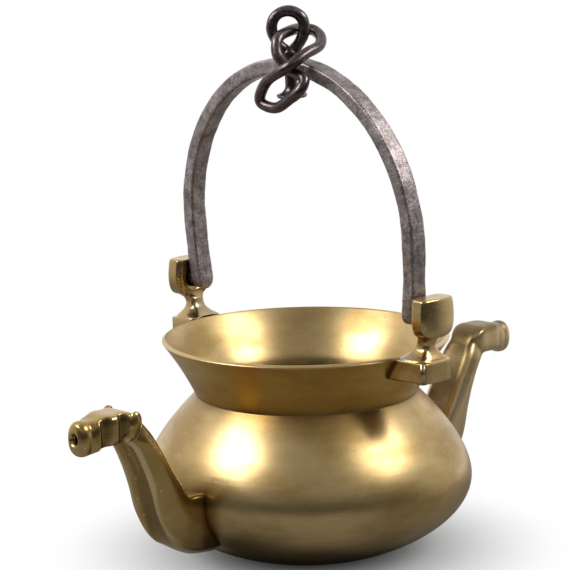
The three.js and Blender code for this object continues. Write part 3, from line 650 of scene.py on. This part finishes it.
def lug_head():
    """The head with cut corners and a full front, by the share of its height, width and depth."""
    levels = [(0, 0.58, 0.88), (0.04, 0.73, 0.93), (0.1, 0.84, 0.97), (0.22, 0.94, 0.99), (0.42, 1, 1),
              (0.64, 1, 1), (0.86, 0.965, 0.98), (0.96, 0.93, 0.96), (1, 0.86, 0.92)]
    half, depth = LUG_HALF_WIDTH, LUG_OUTER - LUG_INNER
    shoulder = depth - LUG_FRONT_CORNER * LUG_CORNER
    front = [(share * half, depth - LUG_BULGE * share**2)
             for share in np.linspace(LUG_FRONT, -LUG_FRONT, LUG_FRONT_STEPS)]
    plan = [(-half + LUG_CORNER, 0), (half - LUG_CORNER, 0), (half, LUG_CORNER), (half, shoulder),
            *front, (-half, shoulder), (-half, LUG_CORNER)]
    rings = []
    for share, wide, deep in catmull_rom(levels, LUG_HEAD_RINGS):
        z = LUG_HEAD_BASE + share * (LUG_HEAD_TOP - LUG_HEAD_BASE)
        rings.append([(x * wide, LUG_INNER + y * deep, z) for x, y in plan])
    return loft("head", rings)


def lug():
    body = joined("lug_rear_cast", [lug_arm(), lug_neck(), lug_head()], LUG_VOXEL, CRISP)
    mouth = LUG_INNER - 1
    dish = along_pivot("dish", mouth, LUG_INNER + DISH_DEPTH, [DISH_RADIUS, SOCKET_RADIUS], SOCKET_SIDES)
    socket = along_pivot("socket", mouth, LUG_INNER + SOCKET_DEPTH, [SOCKET_RADIUS] * 2, SOCKET_SIDES)
    notches = [rod("notch", [(side * NOTCH_PLACE, ARM_END - NOTCH_INSET, NOTCH_BOTTOM),
                             (side * NOTCH_PLACE, ARM_END - NOTCH_INSET, NOTCH_TOP)],
                   [NOTCH_RADIUS] * 2, NOTCH_SIDES) for side in (-1, 1)]
    return grimed_and_shaded(cut(body, dish, socket, *notches, kettle_keepout()), lug_grime_and_shade)


def lug_grime_and_shade(places):
    """Painted shade in the notches of the arm and under the head, and dirt along the arm's joint with the
    funnel.
    """
    notch_spread, joint_spread = 0.5, (1, 3.4)
    neck_top, neck_spread = 149.7, 0.9
    x, y, z = places.T
    on_arm = z < RIM_HEIGHT + 1
    to_notch = np.hypot(np.abs(x) - NOTCH_PLACE, y - ARM_END + NOTCH_INSET)
    # painted shade in the notches
    notch = 0.95 * (to_notch < NOTCH_RADIUS + notch_spread) * on_arm
    joint = (1 - step(*joint_spread, np.hypot(x, y) - funnel_radius(z))) * on_arm
    # painted shade under the head
    under_head = 0.5 * np.exp(-np.abs(z - neck_top) / neck_spread)
    return np.maximum.reduce([notch, joint, under_head])


# Bail

def bail_line():
    """The middle of the bar, in Y and Z: up one leg, over the crown and down the other leg."""
    leg = [(BAIL_HALF_SPAN - (BAIL_HALF_SPAN - BAIL_END) * (1 - h) ** 2,
            PIVOT_HEIGHT + (BAIL_WIDEST - PIVOT_HEIGHT) * h) for h in np.linspace(0, 1, LEG_STEPS)]
    crown = [(BAIL_HALF_SPAN * math.cos(a), BAIL_WIDEST + (APEX_HEIGHT - BAIL_WIDEST) * math.sin(a))
             for a in np.linspace(0, math.pi, CROWN_STEPS)[1:-1]]
    return np.array([*leg, *crown, *[(-y, z) for y, z in leg[::-1]]])


def bail_ring(centre, along, half_depth):
    """The bar's section, a rectangle with cut corners, across a direction in Y and Z."""
    length = math.hypot(*along)
    outward = (along[1] / length, -along[0] / length)
    cut_off = min(BAIL_CHAMFER, 0.7 * half_depth)
    x, y = half_depth, BAIL_THICKNESS / 2
    section = [(x, y - cut_off), (x - cut_off, y), (-x + cut_off, y), (-x, y - cut_off),
               (-x, -y + cut_off), (-x + cut_off, -y), (x - cut_off, -y), (x, -y + cut_off)]
    return [(deep, centre[0] + outward[0] * thick, centre[1] + outward[1] * thick)
            for deep, thick in section]


def bail():
    line = bail_line()
    along = np.gradient(line, axis=0)
    up, down = (0, 1), (0, -1)
    along[0], along[-1] = up, down
    half_depth = BAIL_DEPTH / 2
    round_end = [(share * half_depth, half_depth * math.sqrt(1 - share**2))
                 for share in np.linspace(0.985, 0.1, END_STEPS)]
    rings = [bail_ring(line[0] - (0, drop), up, half) for drop, half in round_end]
    for (y, z), way in zip(line, along):
        swell = APEX_SWELL * math.exp(-((y / APEX_SWELL_LENGTH) ** 2)) if z > BAIL_WIDEST else 0
        rings.append(bail_ring((y, z), way, half_depth + swell))
    rings += [bail_ring(line[-1] - (0, drop), down, half) for drop, half in round_end[::-1]]
    bar = loft("bar", rings)
    pin_end = LUG_INNER + JOURNAL_DEPTH
    pins = [along_pivot("pin", side * BAIL_END, side * pin_end, [JOURNAL_RADIUS] * 2, ROD_SIDES)
            for side in (-1, 1)]
    body = joined("bail_forged", [bar, *pins], BAIL_VOXEL, BAIL_SMOOTHING)
    hole = rod("hole", [(0, 0, APEX_HEIGHT - HOLE_REACH), (0, 0, APEX_HEIGHT + HOLE_REACH)],
               [STEM_HOLE] * 2, ROD_SIDES)
    return leaning(hammered(cut(body, hole), BAIL_HAMMERING, bail_bearing))


def bail_bearing(x, y, z):
    """The two pins, and the hole at the apex with its faces."""
    pin_start, pin_top, face_radius = BAIL_END + 5.2, PIVOT_HEIGHT + 6, 5.5
    on_pin = abs(y) > pin_start and z < pin_top
    at_hole = math.hypot(x, y) < face_radius and z > BAIL_WIDEST
    return on_pin or at_hole


# Swivel eye and link

def in_eye_frame(across, forward, height):
    return (across * math.cos(EYE_TURN) + forward * math.sin(EYE_TURN),
            across * math.sin(EYE_TURN) - forward * math.cos(EYE_TURN),
            EYE_FOOT + height)


def swivel_eye():
    angles = np.linspace(EYE_OPENING, 2 * math.pi - EYE_OPENING, EYE_STEPS)
    line = [in_eye_frame(EYE_FULLNESS * EYE_HALF_WIDTH * math.sin(a) * math.sqrt(math.sin(a / 2)), 0,
                         EYE_ROD / 2 + EYE_HEIGHT * (1 - math.cos(a)) / 2) for a in angles]
    loop = rod("loop", line, [EYE_ROD / 2] * len(line), EYE_SIDES)
    whole = joined("swivel_eye_forged", [loop, eye_stem()], EYE_VOXEL, EYE_SMOOTHING)
    return leaning(hammered(whole, EYE_HAMMERING, eye_bearing))


def eye_stem():
    """The stem from its mushroom head under the bail to the collar under the loop."""
    bottom = APEX_HEIGHT - BAIL_THICKNESS / 2 - STEM_DROP - STEM_HEAD_HEIGHT
    head = [(AXIS, bottom - 0.3), (6, bottom), (9, bottom + 0.5)]
    flare = bezier([(STEM_HEAD_RADIUS, bottom + 2.2), (4.4, bottom + 3.4),
                    (STEM_RADIUS, bottom + STEM_HEAD_HEIGHT)], FLARE_STEPS)
    collar = [(STEM_RADIUS, EYE_FOOT), (COLLAR_RADIUS, EYE_FOOT), (COLLAR_RADIUS, EYE_FOOT + COLLAR_HEIGHT),
              (0.6 * COLLAR_RADIUS, EYE_FOOT + EYE_ROD), (AXIS, EYE_FOOT + EYE_ROD)]
    return lathe("stem", np.vstack([head, flare, collar]), STEM_SIDES)


def eye_bearing(x, y, z):
    """The stem and the underside of the collar."""
    return z < EYE_FOOT + 1


def link():
    """The figure-eight link, by hundredths of its length across, before and above the eye's foot."""
    knots = ((36.1, 0, 20.7), (28.7, -14.8, 27.2), (14.8, -19.3, 29.6), (0.4, 0, 29.6),
             (-12.2, 18.9, 24.1), (-13.7, 26.5, 7.8), (-0.9, 33.7, -7.8), (14.8, 46.3, -19.1),
             (9.3, 51.9, -30.6), (-2.8, 45.4, -40.7), (-19.4, 30.6, -51.9), (-36.1, 17.6, -45.4),
             (-27.8, 27.8, -22.2), (-1.9, 48.7, -3.7), (18.5, 36.1, 8.5), (33.3, 17.6, 13.3))
    places = [in_eye_frame(*(LINK_LENGTH / 100 * value for value in knot)) for knot in knots]
    line = catmull_rom(places, LINK_STEPS, closed=True)
    shifts = range(-LINK_ROUNDING, LINK_ROUNDING + 1)
    line = np.mean([np.roll(line, shift, axis=0) for shift in shifts], axis=0)
    body = rod("figure_eight_link_forged", line, [LINK_ROD / 2] * len(line), LINK_SIDES, closed=True)
    return leaning(hammered(body, LINK_HAMMERING))


# Materials

def material_with(name):
    material = bpy.data.materials.new(name)
    material.use_nodes = True
    tree = material.node_tree
    return material, tree, tree.nodes["Principled BSDF"]


def node(tree, kind, inputs=None, **settings):
    made = tree.nodes.new(kind)
    for key, value in settings.items():
        setattr(made, key, value)
    for key, value in (inputs or {}).items():
        if isinstance(value, bpy.types.NodeSocket):
            tree.links.new(value, made.inputs[key])
        else:
            made.inputs[key].default_value = value
    return made


def maths(tree, operation, *values):
    return node(tree, "ShaderNodeMath", dict(enumerate(values)), operation=operation).outputs[0]


def ranged(tree, value, start, end, low=0, high=1):
    """A value brought from one range to another, and kept inside it."""
    inputs = {"Value": value, "From Min": start, "From Max": end, "To Min": low, "To Max": high}
    return node(tree, "ShaderNodeMapRange", inputs).outputs[0]


def ramp(tree, factor, stops):
    made = node(tree, "ShaderNodeValToRGB", {"Fac": factor})
    elements = made.color_ramp.elements
    while len(elements) < len(stops):
        elements.new(0.5)
    for element, (place, colour) in zip(elements, stops):
        element.position = place
        element.color = (*colour, 1)
    return made.outputs["Color"]


def shares(tree, factor, *stops):
    """A ramp of greys, as shares for mixing."""
    return ramp(tree, factor, [(place, (share, share, share)) for place, share in stops])


def mixed(tree, factor, first, second, blend="MIX"):
    made = node(tree, "ShaderNodeMix", data_type="RGBA", blend_type=blend)
    for index, value in ((0, factor), (6, first), (7, second)):
        if isinstance(value, bpy.types.NodeSocket):
            tree.links.new(value, made.inputs[index])
        else:
            made.inputs[index].default_value = value if index == 0 else (*value, 1)
    return made.outputs[2]


def noise_value(tree, place, scale, detail, stretch=(1, 1, 1), turn=(0, 0, 0)):
    moved = node(tree, "ShaderNodeMapping", {"Vector": place, "Scale": stretch, "Rotation": turn})
    inputs = {"Vector": moved.outputs["Vector"], "Scale": scale, "Detail": detail}
    return node(tree, "ShaderNodeTexNoise", inputs).outputs["Fac"]


def rough_noise(tree, place, scale, detail, roughness):
    inputs = {"Vector": place, "Scale": scale, "Detail": detail, "Roughness": roughness}
    return node(tree, "ShaderNodeTexNoise", inputs).outputs["Fac"]


def occlusion(tree, distance):
    return node(tree, "ShaderNodeAmbientOcclusion", {"Distance": distance}, samples=6).outputs["AO"]


def band(tree, value, low, high, soft):
    """One between two values, and nothing outside them."""
    rising = ranged(tree, value, low - soft, low + soft)
    falling = ranged(tree, value, high + soft, high - soft)
    return maths(tree, "MULTIPLY", rising, falling)


def bumps(tree, shader, *layers):
    """Bumps on a shader's skin, in layers of height, strength and distance."""
    normal = None
    for height, strength, distance in layers:
        inputs = {"Height": height, "Strength": strength, "Distance": distance}
        if normal:
            inputs["Normal"] = normal
        normal = node(tree, "ShaderNodeBump", inputs).outputs["Normal"]
    tree.links.new(normal, shader.inputs["Normal"])


def brass_material(name, patch, roughness, edges, scratched):
    """Old brass with cloudy tarnish, dirt and painted shade in hollows and creases, painted shade near other
    parts, marked dirt and painted shade, worn edges that are partly a painted highlight, scratches and pits,
    and with a patch of another colour laid over part of it."""
    material, tree, shader = material_with(name)
    coordinates = node(tree, "ShaderNodeTexCoord")
    place = coordinates.outputs["Object"]
    clouds = noise_value(tree, place, 1, 8, stretch=(22, 22, 48))
    pits = noise_value(tree, place, 420, 3)
    scratches = noise_value(tree, place, 1, 2, stretch=(900, 90, 900), turn=(0.5, 0.3, 0.9))
    waves = noise_value(tree, place, 1, 5, stretch=(30, 30, 420))
    # Pointiness: painted shade with dirt in concave creases, and lighter edges that are partly worn and
    # partly a painted highlight
    worn = node(tree, "ShaderNodeNewGeometry").outputs["Pointiness"]
    grime_and_shade = node(tree, "ShaderNodeAttribute", attribute_name="grime_and_shade").outputs["Fac"]
    # The marked attribute lays dirt and painted shade, and below nought rubbed brass that is partly a painted
    # highlight
    dirty_and_shaded = maths(tree, "MULTIPLY", grime_and_shade, shares(tree, clouds, (0.3, 0.6), (0.6, 1)))
    rubbed = maths(tree, "MULTIPLY", ranged(tree, grime_and_shade, 0, -1), 0.8)
    colour = ramp(tree, clouds, [(0.36, BRASS_DARK), (0.6, BRASS_LIGHT)])
    colour = patch(tree, coordinates, clouds, colour)
    # Occlusion paints shade: with dirt in hollows, and on its own near other parts
    hollow = shares(tree, occlusion(tree, HOLLOW_REACH), (0.25, 0.9), (0.8, 0))
    shaded = shares(tree, occlusion(tree, SHADE_REACH), (0.3, 0.6), (0.75, 0))
    # In order: dirt and painted shade in hollows, marked dirt and shade, rubbing and painted highlight,
    # painted shade near other parts, painted shade in creases, edges partly a painted highlight, scratches
    # and pits
    for share, laid_over in ((hollow, DIRT_AND_HOLLOW_SHADE),
                             (dirty_and_shaded, GRIME_AND_SHADE),
                             (rubbed, BRASS_RUBBED_AND_HIGHLIGHT),
                             (shaded, SHADED_BRASS),
                             (shares(tree, worn, (0.42, 0.8), (0.485, 0)), CREVICE),
                             (shares(tree, worn, (0.515, 0), (0.575, edges)), BRASS_RUBBED_AND_HIGHLIGHT),
                             (shares(tree, scratches, (0.66, 0), (0.72, scratched)), BRASS_SCRATCH),
                             (shares(tree, pits, (0.24, 0.8), (0.3, 0)), PIT)):
        colour = mixed(tree, share, colour, laid_over)
    tree.links.new(colour, shader.inputs["Base Color"])
    rough = ranged(tree, clouds, 0.3, 0.7, roughness + 0.06, roughness - 0.04)
    tree.links.new(rough, shader.inputs["Roughness"])
    shader.inputs["Metallic"].default_value = 1
    bumps(tree, shader, (waves, 0.04, 0.0015), (pits, 0.03, 0.0004))
    return material


def funnel_reflection_and_tarnish(tree, coordinates, clouds, colour):
    """Amber on the downward face of the funnel's outside: a painted warm reflection of the shoulder, with
    some tarnish.
    """
    facing = node(tree, "ShaderNodeSeparateXYZ", {"Vector": coordinates.outputs["Normal"]}).outputs["Z"]
    height = node(tree, "ShaderNodeSeparateXYZ", {"Vector": coordinates.outputs["Object"]}).outputs["Z"]
    overhanging = band(tree, facing, -1.1, -0.3, 0.1)
    above_neck = band(tree, height, (NECK_HEIGHT + 1) * MM, 0.2, 0.001)
    amber = ramp(tree, clouds, [(0.35, AMBER_DARK), (0.65, AMBER_LIGHT)])
    return mixed(tree, maths(tree, "MULTIPLY", overhanging, above_neck), colour, amber)


def spout_tarnish(tree, coordinates, clouds, colour):
    """Amber tarnish in patches over the whole spout."""
    return mixed(tree, shares(tree, clouds, (0.35, 0.9), (0.6, 0.4)), colour, SPOUT_AMBER)


def spout_shine(tree, coordinates, clouds, colour):
    """Pale brass where the worn spout is rubbed."""
    return mixed(tree, shares(tree, clouds, (0.35, 0.4), (0.6, 0.9)), colour, SPOUT_PALE)


def lug_solder(tree, coordinates, clouds, colour):
    """Grey solder on the inner side of the lug's neck."""
    place = coordinates.outputs["Object"]
    parts = node(tree, "ShaderNodeSeparateXYZ", {"Vector": place}).outputs
    ragged = maths(tree, "MULTIPLY_ADD", clouds, 0.012, maths(tree, "ABSOLUTE", parts["Y"]))
    inner = band(tree, ragged, 0.08, 0.1045, 0.001)
    on_neck = band(tree, parts["Z"], 0.1345, 0.1475, 0.001)
    patchy = shares(tree, noise_value(tree, place, 260, 4), (0.4, 0.1), (0.6, 0.65))
    share = maths(tree, "MULTIPLY", maths(tree, "MULTIPLY", inner, on_neck), patchy)
    return mixed(tree, share, colour, SOLDER)


def iron_material(name, dark, light, roughness, pitted):
    """Forged iron in patches of two tones, with bright edges and dark pits."""
    material, tree, shader = material_with(name)
    place = node(tree, "ShaderNodeTexCoord").outputs["Object"]
    patches = rough_noise(tree, place, 130, 9, 0.72)
    pits = rough_noise(tree, place, 620, 6, 0.7)
    edge = node(tree, "ShaderNodeNewGeometry").outputs["Pointiness"]
    skin = ramp(tree, patches, [(0.32, dark), (0.68, light)])
    bright = tuple(IRON_WEAR * channel for channel in light)
    colour = mixed(tree, shares(tree, edge, (0.52, 0), (0.58, 1)), skin, bright)
    colour = mixed(tree, shares(tree, pits, (0.4, 1.6 * pitted), (0.54, 0)), colour, dark)
    tree.links.new(colour, shader.inputs["Base Color"])
    shader.inputs["Metallic"].default_value = 1
    rough = ranged(tree, pits, 0.3, 0.7, roughness - 0.1, roughness + 0.12)
    tree.links.new(rough, shader.inputs["Roughness"])
    bumps(tree, shader, (patches, 0.6 * pitted, 0.0012), (pits, pitted, 0.0006))
    return material


# Studio

def direction(azimuth, elevation):
    a, e = math.radians(azimuth), math.radians(elevation)
    return Vector((math.sin(a) * math.cos(e), -math.cos(a) * math.cos(e), math.sin(e)))


def camera():
    data = bpy.data.cameras.new("camera")
    data.sensor_width = SENSOR_WIDTH
    data.lens = CAMERA_LENS
    view = bpy.data.objects.new("camera", data)
    back = direction(CAMERA_AZIMUTH, CAMERA_ELEVATION)
    turn = back.to_track_quat("Z", "Y").to_matrix() @ Matrix.Rotation(math.radians(CAMERA_ROLL), 3, "Z")
    view.matrix_world = Matrix.Translation(CAMERA_AIM + back * CAMERA_DISTANCE) @ turn.to_4x4()
    bpy.context.scene.collection.objects.link(view)
    bpy.context.scene.camera = view


def softbox(name, azimuth, elevation, distance, size, power):
    data = bpy.data.lights.new(name, "AREA")
    data.shape = "RECTANGLE"
    data.size, data.size_y = size
    data.energy = power
    lamp = bpy.data.objects.new(name, data)
    back = direction(azimuth, elevation)
    turn = back.to_track_quat("Z", "Y").to_matrix()
    lamp.matrix_world = Matrix.Translation(LAMP_AIM + back * distance) @ turn.to_4x4()
    bpy.context.scene.collection.objects.link(lamp)


def surround(tree, way):
    """Brightness of the studio by direction: dark at the camera, grey beside it, white behind the object."""
    behind = tuple(-direction(CAMERA_AZIMUTH + STUDIO_TURN, 0))
    facing = node(tree, "ShaderNodeVectorMath", {0: way, 1: behind}, operation="DOT_PRODUCT")
    share = ranged(tree, facing.outputs["Value"], -1, 1)
    return shares(tree, share, (0, 0.06), (0.3, 0.11), (0.5, 0.56), (0.7, 0.78), (0.94, 1))


def white_share(tree, ray, far, fade):
    """How white the floor is for one kind of ray, from a near distance to a far one."""
    start, end = fade
    white = node(tree, "ShaderNodeMapRange", {"Value": far, "From Min": start, "From Max": end},
                 interpolation_type="SMOOTHSTEP")
    return maths(tree, "MULTIPLY", ray, white.outputs["Result"])


def floor():
    """A grey floor that keeps the shadow, and fades to the white or the surround of the studio."""
    sides = ((-1, -1), (1, -1), (1, 1), (-1, 1))
    corners = [(x * FLOOR_HALF, y * FLOOR_HALF, -FLOOR_DROP) for x, y in sides]
    plane = mesh_piece("floor", corners, [(0, 1, 2, 3)])
    material, tree, shader = material_with("floor_white")
    shader.inputs["Base Color"].default_value = (FLOOR_GREY, FLOOR_GREY, FLOOR_GREY, 1)
    shader.inputs["Roughness"].default_value = FLOOR_ROUGHNESS
    shader.inputs["Specular IOR Level"].default_value = 0
    path = node(tree, "ShaderNodeLightPath").outputs
    place = node(tree, "ShaderNodeTexCoord").outputs["Object"]
    far = node(tree, "ShaderNodeVectorMath", {0: place}, operation="LENGTH").outputs["Value"]
    way = node(tree, "ShaderNodeVectorMath", {0: place}, operation="NORMALIZE").outputs["Vector"]
    seen = white_share(tree, path["Is Camera Ray"], far, FLOOR_SEEN)
    for kind in ("Is Glossy Ray", "Is Transmission Ray"):
        seen = maths(tree, "MAXIMUM", seen, white_share(tree, path[kind], far, FLOOR_MIRRORED))
    colour = mixed(tree, path["Is Camera Ray"], surround(tree, way), WHITE)
    white = node(tree, "ShaderNodeEmission", {"Color": colour, "Strength": 1})
    blend = node(tree, "ShaderNodeMixShader", {"Fac": seen, 1: shader.outputs[0], 2: white.outputs[0]})
    tree.links.new(blend.outputs[0], tree.nodes["Material Output"].inputs["Surface"])
    plane.data.materials.append(material)


def world():
    """The studio with a lighter ceiling, and white for the camera."""
    sky = bpy.data.worlds.new("studio")
    sky.use_nodes = True
    bpy.context.scene.world = sky
    tree = sky.node_tree
    background = tree.nodes["Background"]
    path = node(tree, "ShaderNodeLightPath").outputs
    way = node(tree, "ShaderNodeTexCoord").outputs["Generated"]
    height = node(tree, "ShaderNodeSeparateXYZ", {"Vector": way}).outputs["Z"]
    ceiling = shares(tree, height, (0.2, 0.06), (0.55, 0.36), (1, 0.3))
    room = mixed(tree, 1, surround(tree, way), ceiling, "LIGHTEN")
    tree.links.new(mixed(tree, path["Is Camera Ray"], room, WHITE), background.inputs["Color"])
    background.inputs["Strength"].default_value = 1


def main():
    kettle_brass = brass_material("brass_kettle", funnel_reflection_and_tarnish, roughness=0.32, edges=0.3, scratched=0.4)
    spout_brass = brass_material("brass_spout", spout_tarnish, roughness=0.21, edges=0.8, scratched=0.1)
    worn_brass = brass_material("brass_worn_spout", spout_shine, roughness=0.31, edges=0.5, scratched=0.2)
    lug_brass = brass_material("brass_lug", lug_solder, roughness=0.22, edges=0.8, scratched=0.3)
    bail_iron = iron_material("iron_bail", BAIL_DARK, BAIL_LIGHT, roughness=0.42, pitted=0.4)
    dark_iron = iron_material("iron_dark", IRON_DARK, IRON_LIGHT, roughness=0.31, pitted=0.06)
    placed(kettle(), "vessel", "kettle", kettle_brass)
    placed(turned(spout("spout_front_cast", worn=False)), "vessel", "spout_front", spout_brass)
    placed(spout("spout_rear_cast", worn=True), "vessel", "spout_rear", worn_brass)
    rear_lug = lug()
    placed(opposite(rear_lug, "lug_front_cast"), "vessel", "lug_front", lug_brass)
    placed(rear_lug, "vessel", "lug_rear", lug_brass)
    placed(bail(), "bail", "bail", bail_iron)
    placed(swivel_eye(), "swivel", "swivel_eye", dark_iron)
    placed(link(), "link", "figure_eight_link", dark_iron)
    floor()
    world()
    softbox("softbox_left", CAMERA_AZIMUTH - 72, elevation=43, distance=1.1, size=(0.6, 0.36), power=6.5)
    softbox("softbox_right", CAMERA_AZIMUTH + 75, elevation=43, distance=1.1, size=(0.5, 0.36), power=5.6)
    camera()
    bpy.context.scene.view_settings.view_transform = "Standard"


main()
